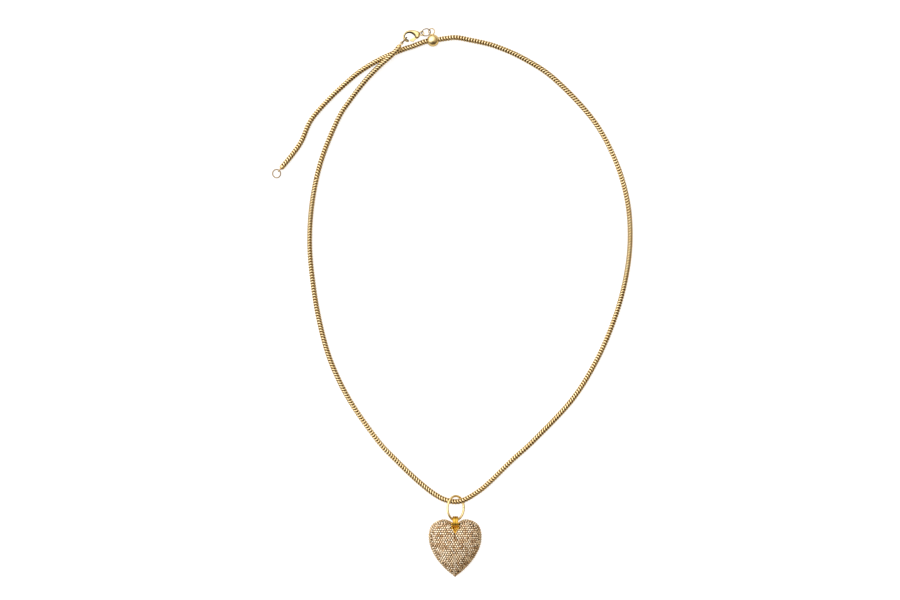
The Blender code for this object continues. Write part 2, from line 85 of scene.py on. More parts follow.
# The camera sees glowing white paper. Everything else sees paper of the bounce colour.
PAPER_GREYS = (0.40, 0.43)
PAPER_GLOW = 0.80
PAPER_ROUGHNESS = 0.8
BOUNCE_COLOUR = (0.74, 0.65, 0.50)
BACKDROP_GREY = 0.62
LIGHT_STRENGTH = 2.1
LIGHT_FROM = Vector((-0.68, 0.42, 0.60)).normalized()
# The light's colour, from the direction away from it (0) to the one it comes from (1).
LIGHT_COLOURS = [
    (0.0, (0.15, 0.115, 0.08)), (0.46, (0.27, 0.21, 0.15)), (0.64, (0.42, 0.37, 0.31)),
    (0.79, (0.69, 0.67, 0.63)), (0.91, (1.0, 0.99, 0.98)),
]
# How a direction's +Z part, then its -Y part, scales the light: from and to, and the strength at each.
LIGHT_BY_HEIGHT = (0.05, 0.45, 0.55, 1.0)
LIGHT_ON_LOW_SIDE = (0.05, 0.70, 1.0, 0.30)
DARK_SPOT = Vector((0.02, -0.56, 0.83)).normalized()
DARK_SPOT_SIZE = math.radians(13)
DARK_SPOT_CORE = 0.6
DARK_SPOT_LIGHT = 0.06

# ---- finishes
NOISE_LOW, NOISE_HIGH = 0.3, 0.7
DRIFT_LOW, DRIFT_HIGH = 0.35, 0.62
DRIFT_SCALE = 420.0
POLISH_SCALE = 6000.0
CAST_SCALE = 3500.0
HAZE_SCALE = 2500.0
CLOUD_SCALE = 1500.0
BRUSH_SCALE = 9000.0
FIBRE_SCALE = 900.0
SOFT_DETAIL, FINE_DETAIL = 3.0, 5.0
DENT_DEPTH = 0.00002
SMOOTHER, ROUGHER = 0.05, 0.07
SMOOTHEST = 0.03
STONE_ROUGHNESS = (0.02, 0.09)
STONE_METAL = 0.85
STONE_IOR = 2.1
# A stone's colour by its tint: clear, champagne, rose, amber and smoke. Each facet's value also carries painted
# glints and painted dark reflections.
STONE_COLOURS = [
    (0.0, (0.96, 0.87, 0.73)), (0.36, (0.93, 0.76, 0.51)), (0.60, (0.84, 0.60, 0.42)),
    (0.86, (0.78, 0.56, 0.32)), (1.0, (0.46, 0.28, 0.14)),
]

# ---- the chain
# The chain's middle line from the clasp's end, down the left, round by the pendant, up and through the bead to
# its free end. It lies at CHAIN_LIES where no height is given.
CHAIN_LIES = 0.00117
CHAIN_ROUTE = [
    (-0.0230, 0.1057, 0.00368), (-0.0259, 0.1029, 0.00355), (-0.0300, 0.0994, 0.00235),
    (-0.0359, 0.0935, 0.00120), (-0.0425, 0.0851), (-0.0478, 0.0767), (-0.0546, 0.0600), (-0.0584, 0.0430),
    (-0.0596, 0.0260), (-0.0584, 0.0100), (-0.0556, -0.0073), (-0.0509, -0.0242), (-0.0429, -0.0409),
    (-0.0311, -0.0578), (-0.0233, -0.0662), (-0.0145, -0.0746, 0.00122), (-0.0069, -0.0806, 0.00190),
    (-0.0012, -0.0832, 0.00256), (0.0045, -0.0831, 0.00264), (0.0113, -0.0793, 0.00190),
    (0.0167, -0.0748, 0.00122), (0.0256, -0.0661), (0.0348, -0.0577), (0.0506, -0.0409), (0.0610, -0.0242),
    (0.0683, -0.0073), (0.0730, 0.0095), (0.0750, 0.0260), (0.0738, 0.0430), (0.0687, 0.0600),
    (0.0594, 0.0768), (0.0437, 0.0935), (0.0308, 0.1022), (0.0183, 0.1077, 0.00130),
    (0.0070, 0.1103, 0.00220), (0.0020, 0.1111, 0.00262), (-0.0018, 0.1108, 0.00262),
    (-0.0060, 0.11017, 0.00262), (-0.0108, 0.10945, 0.00262), (-0.0130, 0.10872, 0.00238),
    (-0.0166, 0.1074, 0.00165), (-0.0200, 0.1064, 0.00125), (-0.0258, 0.1041), (-0.0321, 0.1010),
    (-0.0386, 0.0969), (-0.0447, 0.0918), (-0.0518, 0.0850), (-0.0589, 0.0767), (-0.0629, 0.0679),
    (-0.0664, 0.0627),
]
TIP_REACH = 0.00252
TIP_EYE_RADIUS = 0.00062
TIP_EYE_WIRE = 0.00020
TIP_EYE_SIDES = 12
TIP_STEPS = 48
# The turned cup on a chain end: radius, and distance from the middle of its eye.
TIP_CUP = [
    (0.00001, 0.00072), (0.00040, 0.00074), (0.00050, 0.00084), (0.00050, 0.00098), (0.00062, 0.00108),
    (0.00092, 0.00132), (0.00104, 0.00148), (0.00108, 0.00160), (0.00108, 0.00178), (0.00103, 0.00183),
    (0.00103, 0.00190), (0.00108, 0.00195), (0.00108, 0.00236), (0.00102, 0.00248), (0.00001, 0.00250),
]
TAIL_DIRECTION = Vector((0.66, 0.745, 0.08)).normalized()
CHAIN_RADIUS = 0.00115
LINK_PITCH = 0.00114
LINK_WAVE = 0.00034
LINK_WAVES = 2
TWIST_LENGTH = 0.30
LINK_SIDES = 24
CORE_RADIUS = 0.00088
CORE_SIDES = 12
GROOVE_DOTS = 0.55
GROOVE_DOT_COUNT = 4
# One link's section: how far along the chain, in pitches, how far in from the outside, and how deep in its
# groove that point lies, which sets how far painted shade darkens it.
LINK_SECTION = [
    (-0.440, 0.00056, 1.0), (-0.290, 0.00020, 0.85), (-0.150, 0.0, 0.0),
    (0.150, 0.0, 0.0), (0.290, 0.00020, 0.85), (0.440, 0.00056, 1.0),
]
STRAND_LENGTH = 0.066
ROUTE_STEPS = 24
ROUTE_SAMPLES = 3000

# ---- wire, rings and turned parts
# An open wire's rounded end: how far past the end and how thick, both in wire radii.
WIRE_END = [(0.275, 0.85), (0.45, 0.45)]
CENTRE_ROUNDS = 3
RING_CUT = 0.00007
RING_STEPS = 72
RING_SIDES = 16
# A turned profile that reaches its axis ends this far from it.
AXIS_GAP = 0.00001
BALL_LEVELS = 10
BALL_STEPS = 18

# ---- the slider bead
# The bore and the chamber inside are shares of the ball's radius, the chamber's ends of the bore's half length.
BEAD_BORE = 0.543
BEAD_CHAMBER = 0.75
CHAMBER_ENDS = (0.62, 0.58)
BEAD_LIP = 0.00010
LIP_FLARE = (0.3, 0.2)
LIP_ANGLE = 0.04
BEAD_LEVELS = 40
BEAD_STEPS = 96
LOOP_RADIUS = 0.00125
LOOP_WIRE = 0.00025
LOOP_STEPS = 64
LOOP_SIDES = 14

# ---- the clasp
CLASP_VOXEL = 0.00005
LEVER_VOXEL = 0.00004
MELT_FACTOR = 0.5
MELT_ROUNDS = 4
# The body's thickness at its outline and in full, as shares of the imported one, and how far in it is full.
CLASP_EDGE = 0.70
CLASP_FULL = 1.30
CLASP_FULL_AT = 0.0009
RIVET_ROOM = 0.00055
RIVET_ROUNDING = 0.00014
RIVET_LEVELS = 6
RIVET_STEPS = 32
RIVET_NECK = 0.62
RIVET_HEAD = 0.00019
# Where the painted shade inside the clasp's opening is centred, how far it reaches, and how strongly and
# quickly it comes in.
CLASP_ANGLE = math.radians(191.5)
CLASP_OPENING = (0.0050, 0.0004, 0.0)
CLASP_OPENING_REACH = 0.0030
OPENING_SHADE = 1.6
OPENING_RISE = 4
WALL_TOP = (0.68, 0.86)
WALL_STEP = 0.00004

# ---- the heart
HEART_HALF_OUTLINE = [
    (0.0, 0.00860), (0.00170, 0.01010), (0.00440, 0.01110), (0.00750, 0.01045), (0.00960, 0.00900),
    (0.01075, 0.00700), (0.01125, 0.00440), (0.01105, 0.00140), (0.01030, -0.00120), (0.00905, -0.00380),
    (0.00745, -0.00630), (0.00525, -0.00885), (0.00270, -0.01130), (0.0, -0.01330),
]
HEART_EDGE_STEPS = 8
HEART_TIP = -0.01330
HEART_HALF_WIDTH = 0.01125
HEART_BASE = 0.00090
HEART_HEIGHT = 0.00620
DOME_FULLNESS = 0.77
PROBE_STEP = 0.00002
PROBE_TURN = 0.004
SEAT_INSET = 0.00066
SEAT_TOP = 88.5
SEAT_LEVELS = 30
# The back plate's sections: share of the heart's outline, and of the plate's thickness.
BACK_SECTIONS = [
    (0.938, 0.0), (0.952, 0.04), (0.966, 0.16), (0.974, 0.34), (0.974, 0.72), (0.966, 0.92), (0.952, 1.0),
]

# ---- the stones
STONE_SEED = 11
STONE_RADIUS = 0.00044
STONE_PITCH = 0.00104
STONE_SINK = 0.00024
SMALLEST_STONE = 0.965
STONE_SPREAD = 0.05
STONE_TILT = 0.10
# A stone's facets, for a radius of one: reach and height of the table and of the crown's middle, half the
# girdle's height, and the depth of the point.
TABLE = (0.55, 0.42)
CROWN = (0.80, 0.24)
GIRDLE = 0.04
POINT_DEPTH = 0.72
# Most stones are pale: the power that an even draw is raised to. Facets carry painted glints, and some are
# painted darker than their stone as painted dark reflections.
TINT_POWER = 1.9
FACET_GLINT_SPREAD = 0.16
PAINTED_DARK_FACETS = 0.20
PAINTED_FACET_SHADE = 0.6
RIM_ROWS = [math.radians(5.2), math.radians(15.2), math.radians(25.2)]
# The field starts from a lattice cut off at a share of the last row, loses its most crowded stones, is shaken a
# little and then evened out in steps over a grid of samples.
FIELD_SEED = 7
FIELD_OFFSET = (0.0001, 0.00007)
FIELD_LATTICE = range(-18, 19)
FIELD_LEVELS = 160
FIELD_EDGE = 0.955
FIELD_NEIGHBOURS = 7
FIELD_DROP = 6
FIELD_SHAKE = 0.00003
FIELD_STEPS = 26
FIELD_SAMPLE = 0.00020
SAMPLE_MARGIN = 1.3
STEEPEST = 0.15
LAST_ROW_SHARE = 0.5
# The setting grains: one sits between two stones that are closer than this many pitches.
GRAIN_RADIUS = 0.000085
GRAIN_NEIGHBOUR = 1.32
GRAIN_SINK = 0.6
GRAIN_SIDES = 7
GRAIN_PROFILE = [(0.70, 0.72), (1.0, 0.0), (1.0, -1.6)]

# ---- the bail
BAIL_WALL = 0.00037
BAIL_INSET = 0.00006
BAIL_RIDGE = 0.00007
BAIL_RIDGES = 3
BAIL_OUTER_LEVELS = 32
BAIL_INNER_LEVELS = 8
BAIL_STEPS = 72
# How much the band's edges are taken in outside and opened inside, and over which share of its half width.
BAIL_EDGE, BAIL_EDGE_BAND = 0.00016, 0.2
BAIL_FLARE, BAIL_FLARE_BAND = 0.00018, 0.35
BAIL_INNER_WIDTH = 0.985
BAIL_ROOM = (0.00035, 0.00040)
# The grains at the bail's foot. Their spacing is in grain radii, and the side ones start at a share of the
# bail's radius.
COLLAR_GRAIN = 0.00046
COLLAR_SPACING = 1.75
COLLAR_SIDE_GRAINS = 5
COLLAR_SIDE_OUT = 0.8
COLLAR_SIDE_NARROWING = 0.1
COLLAR_SIDE_START = 0.35
COLLAR_ROWS = 4
COLLAR_ROW_START = 0.5
COLLAR_ROW_STEP = 1.3
COLLAR_SINK = 0.55
COLLAR_SHRINK = 0.06


# ---- curves
def spline_line(points, steps):
    """The smooth curve through the points, as a dense array."""
    knots = [np.array(p, float) for p in points]
    knots = [2 * knots[0] - knots[1]] + knots + [2 * knots[-1] - knots[-2]]
    line = []
    for i in range(1, len(knots) - 2):
        p0, p1, p2, p3 = knots[i - 1 : i + 3]
        for k in range(steps):
            t = k / steps
            line.append(0.5 * (
                2 * p1
                + (p2 - p0) * t
                + (2 * p0 - 5 * p1 + 4 * p2 - p3) * t * t
                + (3 * p1 - p0 - 3 * p2 + p3) * t * t * t
            ))
    line.append(knots[-2])
    return np.array(line)


def along(line, distances):
    """Points of the line at the given distances from its start."""
    steps = np.linalg.norm(np.diff(line, axis=0), axis=1)
    reached = np.concatenate([[0.0], np.cumsum(steps)])
    return np.stack([np.interp(distances, reached, line[:, c]) for c in range(3)], axis=1)


def line_length(line):
    return float(np.linalg.norm(np.diff(line, axis=0), axis=1).sum())


def unit(vectors):
    return vectors / np.linalg.norm(vectors, axis=-1, keepdims=True)


# ---- mesh helpers
def mesh_piece(name, verts, faces, finish, smooth=True, sharp=None):
    mesh = bpy.data.meshes.new(name)
    mesh.from_pydata([tuple(v) for v in verts], [], [tuple(f) for f in faces])
    mesh.validate()
    if smooth:
        mesh.shade_smooth()
        if sharp:
            mesh.set_sharp_from_angle(angle=math.radians(sharp))
    piece = bpy.data.objects.new(name, mesh)
    bpy.context.scene.collection.objects.link(piece)
    mesh.materials.append(finish)
    return piece


def add_number(piece, name, values, domain="POINT"):
    """Stores one number for each vertex or face, for the material to read."""
    layer = piece.data.attributes.new(name, "FLOAT", domain)
    layer.data.foreach_set("value", np.asarray(values, np.float32))


def tube_mesh(line, radius, sides, closed):
    """Vertices and faces of a round wire along the line. An open wire gets rounded ends."""
    points = np.asarray(line, float)
    radii = np.full(len(points), radius)
    if closed:
        ahead = unit(np.roll(points, -1, axis=0) - np.roll(points, 1, axis=0))
    else:
        first, last = unit(points[0] - points[1]), unit(points[-1] - points[-2])
        start = [points[0] + first * radius * out for out, _ in reversed(WIRE_END)]
        end = [points[-1] + last * radius * out for out, _ in WIRE_END]
        points = np.array([*start, *points, *end])
        thickness = [share for _, share in WIRE_END]
        radii = np.array(thickness[::-1] + [1.0] * len(radii) + thickness) * radius
        ahead = unit(np.gradient(points, axis=0))
    flat_normal = np.linalg.svd(points - points.mean(axis=0), full_matrices=False)[2][2]
    side = unit(np.cross(ahead, flat_normal))
    up = np.cross(side, ahead)
    angles = np.arange(sides) * 2 * math.pi / sides
    verts = (
        points[:, None, :]
        + radii[:, None, None] * np.cos(angles)[None, :, None] * side[:, None, :]
        + radii[:, None, None] * np.sin(angles)[None, :, None] * up[:, None, :]
    ).reshape(-1, 3)
    faces = []
    count = len(points)
    for i in range(count if closed else count - 1):
        n = (i + 1) % count
        for k in range(sides):
            m = (k + 1) % sides
            faces.append((i * sides + k, i * sides + m, n * sides + m, n * sides + k))
    if not closed:
        faces.append(tuple(range(sides - 1, -1, -1)))
        faces.append(tuple((count - 1) * sides + k for k in range(sides)))
    return verts, faces


def round_points(count, reach, height, start=0.0):
    angles = [start + 2 * math.pi * k / count for k in range(count)]
    return [(reach * math.cos(a), reach * math.sin(a), height) for a in angles]


def turned_mesh(profile, steps, place):
    """A closed profile of (radius, height) points turned round the local z axis and put in place."""
    verts = []
    for angle in np.arange(steps) * 2 * math.pi / steps:
        for radius, height in profile:
            verts.append(place @ Vector((radius * math.cos(angle), radius * math.sin(angle), height)))
    count = len(profile)
    faces = []
    for i in range(steps):
        n = (i + 1) % steps
        for k in range(count):
            m = (k + 1) % count
            faces.append((i * count + k, n * count + k, n * count + m, i * count + m))
    return verts, faces


def circle_mesh(centre, x_axis, y_axis, radius, wire, steps, sides):
    """A closed ring of round wire about the centre, in the plane of the two axes."""
    line = [centre + x * x_axis + y * y_axis for x, y, _ in round_points(steps, radius, 0.0)]
    return tube_mesh(line, wire, sides, True)


def ball_mesh(centre, radius):
    profile = [(AXIS_GAP, -radius)]
    for k in range(1, BALL_LEVELS):
        angle = math.pi * k / BALL_LEVELS
        profile.append((radius * math.sin(angle), -radius * math.cos(angle)))
    profile.append((AXIS_GAP, radius))
    return turned_mesh(profile, BALL_STEPS, Matrix.Translation(centre))


def join_meshes(*meshes):
    verts = []
    faces = []
    for more_verts, more_faces in meshes:
        start = len(verts)
        verts.extend(more_verts)
        faces.extend(tuple(index + start for index in face) for face in more_faces)
    return verts, faces


def outward(piece):
    """Turns every face of a closed piece outwards."""
    bm = bmesh.new()
    bm.from_mesh(piece.data)
    bmesh.ops.recalc_face_normals(bm, faces=bm.faces[:])
    bm.to_mesh(piece.data)
    bm.free()
    return piece


def axes_matrix(origin, x_axis, z_axis):
    z = Vector(z_axis).normalized()
    x = Vector(x_axis)
    x = (x - x.dot(z) * z).normalized()
    turn = Matrix((x, z.cross(x), z)).transposed().to_4x4()
    return Matrix.Translation(Vector(origin)) @ turn


def node_points(node):
    mesh = frame["nodes"][node].data
    co = np.zeros(len(mesh.vertices) * 3, np.float32)
    mesh.vertices.foreach_get("co", co)
    return co.reshape(-1, 3).astype(float)


def point_tree(points):
    tree = KDTree(len(points))
    for i, point in enumerate(points):
        tree.insert(point, i)
    tree.balance()
    return tree


def softened(node, name, finish, voxel):
    """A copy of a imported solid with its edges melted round, as cast and polished metal has them."""
    mesh = frame["nodes"][node].data.copy()
    mesh.materials.clear()
    piece = bpy.data.objects.new(name, mesh)
    bpy.context.scene.collection.objects.link(piece)
    piece.matrix_world = Matrix.Identity(4)
    remesh = piece.modifiers.new("even_mesh", "REMESH")
    remesh.mode = "VOXEL"
    remesh.voxel_size = voxel
    melt = piece.modifiers.new("round_edges", "SMOOTH")
    melt.factor = MELT_FACTOR
    melt.iterations = MELT_ROUNDS
    bpy.context.view_layer.update()
    seen = piece.evaluated_get(bpy.context.evaluated_depsgraph_get())
    final = bpy.data.meshes.new_from_object(seen)
    piece.modifiers.clear()
    piece.data = final
    final.name = name
    final.materials.clear()
    final.materials.append(finish)
    final.shade_smooth()
    return piece


# ---- materials
def new_material(name):
    made = bpy.data.materials.new(name)
    made.use_nodes = True
    nodes = made.node_tree.nodes
    return made, nodes, made.node_tree.links, nodes["Principled BSDF"]


def noise(nodes, links, place, scale, detail=SOFT_DETAIL):
    made = nodes.new("ShaderNodeTexNoise")
    made.inputs["Scale"].default_value = scale
    made.inputs["Detail"].default_value = detail
    links.new(place.outputs["Object"], made.inputs["Vector"])
    return made.outputs["Fac"]


def ramp(nodes, links, factor, stops):
    made = nodes.new("ShaderNodeValToRGB")
    elements = made.color_ramp.elements
    while len(elements) < len(stops):
        elements.new(0.5)
    for element, (position, colour) in zip(elements, stops):
        element.position = position
        element.color = (*colour, 1.0)
    links.new(factor, made.inputs["Fac"])
    return made.outputs["Color"]


def grey_ramp(nodes, links, factor, dark, pale):
    """From one grey to another over the middle of a noise's range."""
    return ramp(nodes, links, factor, [(NOISE_LOW, (dark, dark, dark)), (NOISE_HIGH, (pale, pale, pale))])


def gold(name, pale, rich, roughness, grain=POLISH_SCALE, dents=0.25, painted_recess_shade=None):
    """Plated gold: a slow drift between two tones, a fine polish grain and tiny dents.

    The optional last colour is painted shade: grooves and hollows are darkened towards it, by how deep each
    point lies, on pieces that store that depth."""
    made, nodes, links, shader = new_material(name)
    place = nodes.new("ShaderNodeTexCoord")
    slow = noise(nodes, links, place, DRIFT_SCALE)
    fine = noise(nodes, links, place, grain, FINE_DETAIL)
    tone = ramp(nodes, links, slow, [(DRIFT_LOW, rich), (DRIFT_HIGH, pale)])
    if painted_recess_shade:
        depth = nodes.new("ShaderNodeAttribute")
        depth.attribute_name = "painted_recess_shade"
        darker = nodes.new("ShaderNodeMix")
        darker.data_type = "RGBA"
        links.new(depth.outputs["Fac"], darker.inputs["Factor"])
        links.new(tone, darker.inputs["A"])
        darker.inputs["B"].default_value = (*painted_recess_shade, 1.0)
        tone = darker.outputs["Result"]
    links.new(tone, shader.inputs["Base Color"])
    rough = grey_ramp(nodes, links, fine, max(SMOOTHEST, roughness - SMOOTHER), roughness + ROUGHER)
    links.new(rough, shader.inputs["Roughness"])
    shader.inputs["Metallic"].default_value = 1.0
    bump = nodes.new("ShaderNodeBump")
    bump.inputs["Strength"].default_value = dents
    bump.inputs["Distance"].default_value = DENT_DEPTH
    links.new(fine, bump.inputs["Height"])
    links.new(bump.outputs["Normal"], shader.inputs["Normal"])
    return made


def stone_glass(name):
    """Small faceted stones, each with its own tint from clear through champagne to rose and smoke, and with
    painted glints and painted dark reflections on single facets.
    """
    made, nodes, links, shader = new_material(name)
    tint_and_facet_shade = nodes.new("ShaderNodeAttribute")
    tint_and_facet_shade.attribute_name = "tint_and_facet_shade"
    colour = ramp(nodes, links, tint_and_facet_shade.outputs["Fac"], STONE_COLOURS)
    links.new(colour, shader.inputs["Base Color"])
    place = nodes.new("ShaderNodeTexCoord")
    haze = noise(nodes, links, place, HAZE_SCALE)
    links.new(grey_ramp(nodes, links, haze, *STONE_ROUGHNESS), shader.inputs["Roughness"])
    shader.inputs["Metallic"].default_value = STONE_METAL
    shader.inputs["IOR"].default_value = STONE_IOR
    return made


def plain_look(name, scale, detail, colour, roughness):
    """A grey and a roughness that drift together between two values each."""
    made, nodes, links, shader = new_material(name)
    drift = noise(nodes, links, nodes.new("ShaderNodeTexCoord"), scale, detail)
    links.new(grey_ramp(nodes, links, drift, *colour), shader.inputs["Base Color"])
    links.new(grey_ramp(nodes, links, drift, *roughness), shader.inputs["Roughness"])
    return made, shader


def silicone(name):
    made, shader = plain_look(name, CLOUD_SCALE, SOFT_DETAIL, (0.78, 0.88), (0.42, 0.58))
    shader.inputs["Subsurface Weight"].default_value = 0.3
    shader.inputs["Subsurface Scale"].default_value = 0.0005
    return made


def steel(name):
    made, shader = plain_look(name, BRUSH_SCALE, FINE_DETAIL, (0.48, 0.66), (0.25, 0.42))
    shader.inputs["Metallic"].default_value = 1.0
    return made


# Each gold: its pale and its rich tone, its roughness, and what it has besides.
# Painted shade: the chain's grooves, and the whole core inside, are darkened towards a deep brown in colour.
CHAIN_GOLD = gold("chain_gold_look", (0.98, 0.84, 0.51), (0.93, 0.73, 0.38), 0.20, painted_recess_shade=(0.14, 0.06, 0.015))
BRIGHT_GOLD = gold("bright_gold_look", (0.94, 0.80, 0.46), (0.90, 0.73, 0.37), 0.10, dents=0.12)
# Painted shade: the clasp's inner walls facing its opening are darkened towards near black in colour.
CLASP_GOLD = gold(
    "clasp_gold_look", (0.80, 0.66, 0.33), (0.70, 0.54, 0.24), 0.13, dents=0.2, painted_recess_shade=(0.05, 0.02, 0.006)
)
CAST_GOLD = gold("cast_gold_look", (0.84, 0.55, 0.10), (0.58, 0.33, 0.04), 0.22, grain=CAST_SCALE, dents=0.5)
TIP_GOLD = gold("tip_gold_look", (0.90, 0.72, 0.40), (0.72, 0.52, 0.26), 0.20)
RING_GOLD = gold("ring_gold_look", (0.48, 0.37, 0.24), (0.32, 0.23, 0.14), 0.16)
LOOP_GOLD = gold("loop_gold_look", (0.72, 0.58, 0.36), (0.56, 0.43, 0.25), 0.14)
PENDANT_GOLD = gold("pendant_ring_gold_look", (0.95, 0.80, 0.42), (0.90, 0.70, 0.32), 0.14)
# Painted shade: the seat under the stones is a near-black brown, so the gaps between the stones read dark.
SEAT_PAINTED_SHADE = gold("seat_painted_shade_look", (0.16, 0.08, 0.03), (0.07, 0.035, 0.012), 0.45, grain=CAST_SCALE, dents=0.5)
GRAIN_GOLD = gold("grain_gold_look", (0.84, 0.62, 0.32), (0.66, 0.44, 0.20), 0.20)
STONES = stone_glass("stones_look")
SILICONE = silicone("silicone_look")
STEEL = steel("spring_steel_look")


# ---- camera, light and floor
def make_camera():
    data = bpy.data.cameras.new("camera")
    data.sensor_width = SENSOR_WIDTH
    data.lens = SENSOR_WIDTH * CAMERA_HEIGHT / VIEW_WIDTH
    camera = bpy.data.objects.new("camera", data)
    camera.location = (*VIEW_CENTRE, CAMERA_HEIGHT + CHAIN_RADIUS)
    bpy.context.scene.collection.objects.link(camera)
    bpy.context.scene.camera = camera


def make_world():
    """Soft light from the upper left that falls off to a dim right side, with one small dark reflection."""
    world = bpy.data.worlds.new("studio")
    bpy.context.scene.world = world
    world.use_nodes = True
    nodes, links = world.node_tree.nodes, world.node_tree.links
    background = nodes["Background"]
    place = nodes.new("ShaderNodeTexCoord")

    def facing(direction):
        dot = nodes.new("ShaderNodeVectorMath")
        dot.operation = "DOT_PRODUCT"
        links.new(place.outputs["Generated"], dot.inputs[0])
        dot.inputs[1].default_value = direction
        return dot.outputs["Value"]

    def remap(value, *limits):
        made = nodes.new("ShaderNodeMapRange")
        for socket, limit in zip(("From Min", "From Max", "To Min", "To Max"), limits):
            made.inputs[socket].default_value = limit
        links.new(value, made.inputs["Value"])
        return made.outputs["Result"]

    light = ramp(nodes, links, remap(facing(LIGHT_FROM), -1.0, 1.0, 0.0, 1.0), LIGHT_COLOURS)
    shade = remap(facing((0.0, 0.0, 1.0)), *LIGHT_BY_HEIGHT)
    low_side = remap(facing((0.0, -1.0, 0.0)), *LIGHT_ON_LOW_SIDE)
    rim, core = math.cos(DARK_SPOT_SIZE), math.cos(DARK_SPOT_SIZE * DARK_SPOT_CORE)
    spot = remap(facing(DARK_SPOT), rim, core, 1.0, DARK_SPOT_LIGHT)
    for part in (low_side, spot):
        product = nodes.new("ShaderNodeMath")
        product.operation = "MULTIPLY"
        links.new(shade, product.inputs[0])
        links.new(part, product.inputs[1])
        shade = product.outputs["Value"]
    shaded = nodes.new("ShaderNodeVectorMath")
    shaded.operation = "SCALE"
    links.new(light, shaded.inputs[0])
    links.new(shade, shaded.inputs["Scale"])
    seen = nodes.new("ShaderNodeLightPath")
    backdrop = nodes.new("ShaderNodeMix")
    backdrop.data_type = "RGBA"
    links.new(seen.outputs["Is Camera Ray"], backdrop.inputs["Factor"])
    links.new(shaded.outputs["Vector"], backdrop.inputs["A"])
    backdrop.inputs["B"].default_value = (BACKDROP_GREY, BACKDROP_GREY, BACKDROP_GREY, 1.0)
    links.new(backdrop.outputs["Result"], background.inputs["Color"])
    background.inputs["Strength"].default_value = LIGHT_STRENGTH


def make_floor():
    half = FLOOR_SIZE / 2
    corners = [(-half, -half, 0), (half, -half, 0), (half, half, 0), (-half, half, 0)]
    made, nodes, links, shader = new_material("white_paper")
    place = nodes.new("ShaderNodeTexCoord")
    fibre = noise(nodes, links, place, FIBRE_SCALE)
    links.new(grey_ramp(nodes, links, fibre, *PAPER_GREYS), shader.inputs["Base Color"])
    shader.inputs["Roughness"].default_value = PAPER_ROUGHNESS
    shader.inputs["Emission Color"].default_value = (1.0, 1.0, 1.0, 1.0)
    shader.inputs["Emission Strength"].default_value = PAPER_GLOW
    bounce = nodes.new("ShaderNodeBsdfDiffuse")
    bounce.inputs["Color"].default_value = (*BOUNCE_COLOUR, 1.0)
    seen = nodes.new("ShaderNodeLightPath")
    both = nodes.new("ShaderNodeMixShader")
    links.new(seen.outputs["Is Camera Ray"], both.inputs["Fac"])
    links.new(bounce.outputs["BSDF"], both.inputs[1])
    links.new(shader.outputs["BSDF"], both.inputs[2])
    links.new(both.outputs["Shader"], nodes["Material Output"].inputs["Surface"])
    floor = mesh_piece("floor", corners, [(0, 1, 2, 3)], made)
    floor.location.z = min(0.0, CAD_LOW.z) - FLOOR_DROP


# ---- the chain
def make_links(name, line, pitch):
    """A run of wave-shaped snake-chain links along the line, each a closed ring nested in the next."""
    count = round(line_length(line) / pitch)
    pitch = line_length(line) / count
    centres = along(line, (np.arange(count) + 0.5) * pitch)
    before = along(line, np.arange(count) * pitch)
    after = along(line, (np.arange(count) + 1.0) * pitch)
    ahead = unit(after - before)
    side = unit(np.cross(ahead, np.array([0.0, 0.0, 1.0])))
    up = np.cross(side, ahead)
    angles = np.arange(LINK_SIDES) * 2 * math.pi / LINK_SIDES
    turned = angles[None, :] + (np.arange(count) * pitch * 2 * math.pi / TWIST_LENGTH)[:, None]
    around = np.cos(turned)[:, :, None] * up[:, None, :] + np.sin(turned)[:, :, None] * side[:, None, :]
    wave = LINK_WAVE * np.sin(LINK_WAVES * angles)
    section = np.array(LINK_SECTION)
    shift = section[None, :, 0] * pitch + wave[:, None]
    # Round each link the grooves run shallower and deeper four times, and their painted shade follows the
    # depth.
    depth = 1 - GROOVE_DOTS * (0.5 + 0.5 * np.cos(GROOVE_DOT_COUNT * angles))
    reach = CHAIN_RADIUS - depth[:, None] * section[None, :, 1]
    verts = (
        centres[:, None, None, :]
        + ahead[:, None, None, :] * shift[None, :, :, None]
        + around[:, :, None, :] * reach[None, :, :, None]
    )
    parts = len(section)
    index = np.arange(count * LINK_SIDES * parts).reshape(count, LINK_SIDES, parts)
    next_side = np.roll(index, -1, axis=1)
    faces = np.stack(
        [index, np.roll(index, -1, axis=2), np.roll(next_side, -1, axis=2), next_side], axis=-1
    ).reshape(-1, 4)
    core_line = along(line, np.linspace(0.0, line_length(line), count * 2))
    core = tube_mesh(core_line, CORE_RADIUS, CORE_SIDES, False)
    # Painted shade: each point's groove depth, and 1 for the whole core, sets how far its colour darkens.
    painted_recess_shade = np.tile((depth[:, None] * section[None, :, 2]).ravel(), count)
    piece = mesh_piece(name, *join_meshes((verts.reshape(-1, 3), faces.tolist()), core), CHAIN_GOLD, sharp=80)
    add_number(piece, "painted_recess_shade", np.concatenate([painted_recess_shade, np.ones(len(core[0]))]))
    return piece


def clasp_end():
    """The eye on the chain end that hangs in the clasp, and the way its chain leaves it."""
    eye = Vector(JOINTS["end_ring_swing"]["pos_m"])
    way = Vector(CHAIN_ROUTE[0]) - eye
    way.z = 0.0
    return eye, way.normalized()


def chain_line():
    eye, way = clasp_end()
    tail_eye = Vector(JOINTS["tail_ring_swing"]["pos_m"])
    ends = eye + way * TIP_REACH, tail_eye + TAIL_DIRECTION * TIP_REACH
    route = [(*point, CHAIN_LIES)[:3] for point in CHAIN_ROUTE]
    return spline_line([ends[0], *route, ends[1]], ROUTE_STEPS)


